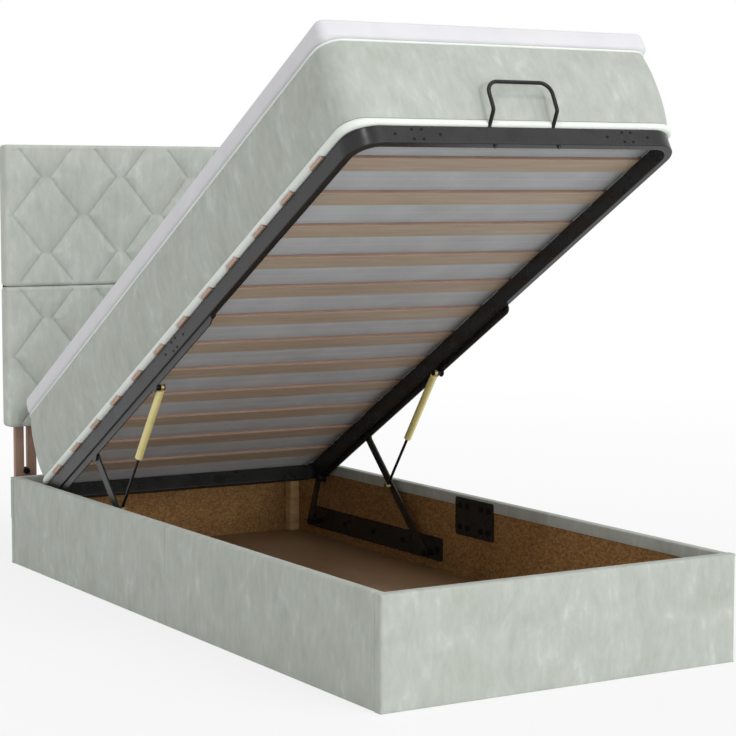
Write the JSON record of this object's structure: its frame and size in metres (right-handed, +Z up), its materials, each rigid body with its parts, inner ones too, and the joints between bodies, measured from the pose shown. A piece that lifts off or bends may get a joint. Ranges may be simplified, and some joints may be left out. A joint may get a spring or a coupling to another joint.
{
  "type": "ottoman bed",
  "caption": "Single ottoman bed with a lift-up slatted platform on gas springs, velvet-covered storage box, quilted headboard on posts, mattress and topper.",
  "frame": {"origin": "on the floor, midway along the whole bed's length and midway across its width", "axes": "+Z up, +Y towards the headboard, +X to the right seen from the foot; rest pose is the bed open, as it stands to be filled"},
  "size_m": [0.951, 2.102, 1.4417],
  "materials": {
    "velvet": "crushed velvet, light grey-green",
    "border_velvet": "velvet, light grey-green",
    "mattress_fabric": "pale quilted ticking",
    "white_fabric": "plain white cover",
    "piping": "off-white corded edge",
    "chipboard": "raw chipboard",
    "hardboard": "hardboard, matt",
    "slat_wood": "bent plywood, clear lacquer",
    "post_wood": "stained softwood",
    "lath_wood": "raw softwood",
    "black_cloth": "black lining cloth",
    "frame_paint": "semi-gloss black powder coat",
    "zinc": "bright zinc",
    "spring_gold": "pale gold lacquer",
    "rod_steel": "blackened hard chrome",
    "eye_brass": "brass",
    "handle_black": "semi-gloss black powder coat"
  },
  "bodies": {
    "storage_box": {"side_panel_left_foot": "chipboard", "side_panel_left_head": "chipboard", "side_panel_right_foot": "chipboard", "side_panel_right_head": "chipboard", "side_cover_left_foot": "velvet", "side_cover_left_head": "velvet", "side_cover_right_foot": "velvet", "side_cover_right_head": "velvet", "foot_panel": "chipboard", "head_panel": "chipboard", "foot_cover": "velvet", "head_cover": "velvet", "joint_plates": "frame_paint", "corner_blocks": "lath_wood", "floor_battens": "lath_wood", "floor_board_foot": "hardboard", "floor_board_head": "hardboard", "base_rail_left": "frame_paint", "base_rail_right": "frame_paint", "base_pivot_pins": "zinc", "panel_screws": "zinc", "post_guides": "frame_paint", "height_bolts": "zinc"},
    "headboard": {"headboard_pad_upper": "velvet", "headboard_pad_lower": "velvet", "headboard_board_upper": "hardboard", "headboard_board_lower": "hardboard", "headboard_laths": "lath_wood", "headboard_back_cover": "black_cloth", "headboard_post_left": "post_wood", "headboard_post_right": "post_wood", "post_screws": "zinc"},
    "front_arms": {"lift_arm_left": "frame_paint", "lift_arm_right": "frame_paint", "arm_spring_bolts": "zinc"},
    "platform": {"frame_foot_rail": "frame_paint", "frame_head_rail": "frame_paint", "frame_side_left_foot": "frame_paint", "frame_side_left_head": "frame_paint", "frame_side_right_foot": "frame_paint", "frame_side_right_head": "frame_paint", "frame_fasteners": "zinc", "slats": "slat_wood", "lift_rail_left": "frame_paint", "lift_rail_right": "frame_paint", "platform_pivot_pins": "zinc", "pull_handle": "handle_black", "mattress_core": "mattress_fabric", "mattress_border": "border_velvet", "mattress_piping": "piping", "topper": "white_fabric"},
    "rear_links": {"rear_link_left": "frame_paint", "rear_link_right": "frame_paint", "link_top_pins": "zinc"},
    "spring_tubes": {"gas_tube_left": "spring_gold", "gas_tube_right": "spring_gold", "spring_top_eyes": "eye_brass"},
    "spring_rods": {"gas_rod_left": "rod_steel", "gas_rod_right": "rod_steel", "spring_foot_eyes": "eye_brass"}
  },
  "joints": [
    {"name": "bed_lift", "type": "hinge", "parent": "storage_box", "child": "front_arms", "pos_m": [0, 0.19421, 0.06945], "axis": [-1, 0, 0], "range_deg": [0, 26.96], "stiffness_Nm_per_rad": 280, "springref_deg": -134.07},
    {"name": "platform_tilt", "type": "hinge", "parent": "front_arms", "child": "platform", "pos_m": [0, 0.49989, 0.36132], "axis": [1, 0, 0], "range_deg": [0, 56.7]},
    {"name": "link_swing", "type": "hinge", "parent": "storage_box", "child": "rear_links", "pos_m": [0, 0.81812, 0.07367], "axis": [-1, 0, 0], "range_deg": [0, 57.5]},
    {"name": "spring_swing", "type": "hinge", "parent": "platform", "child": "spring_tubes", "pos_m": [0, 0.1192, 0.57793], "axis": [1, 0, 0], "range_deg": [0, 13.1]},
    {"name": "spring_stroke", "type": "slide", "parent": "spring_tubes", "child": "spring_rods", "axis": [0, -0.5888, 0.8082], "range_m": [0, 0.155]},
    {"name": "headboard_height", "type": "slide", "parent": "storage_box", "child": "headboard", "axis": [0, 0, 1], "range_m": [-0.1, 0]}
  ],
  "couplings": [
    {"joint": "platform_tilt", "follows": "bed_lift", "ratio": 2.0993},
    {"joint": "link_swing", "follows": "bed_lift", "ratio": 2.1325},
    {"joint": "spring_swing", "follows": "bed_lift", "ratio": 0.48528},
    {"joint": "spring_stroke", "follows": "bed_lift", "m_per_rad": 0.32771}
  ]
}
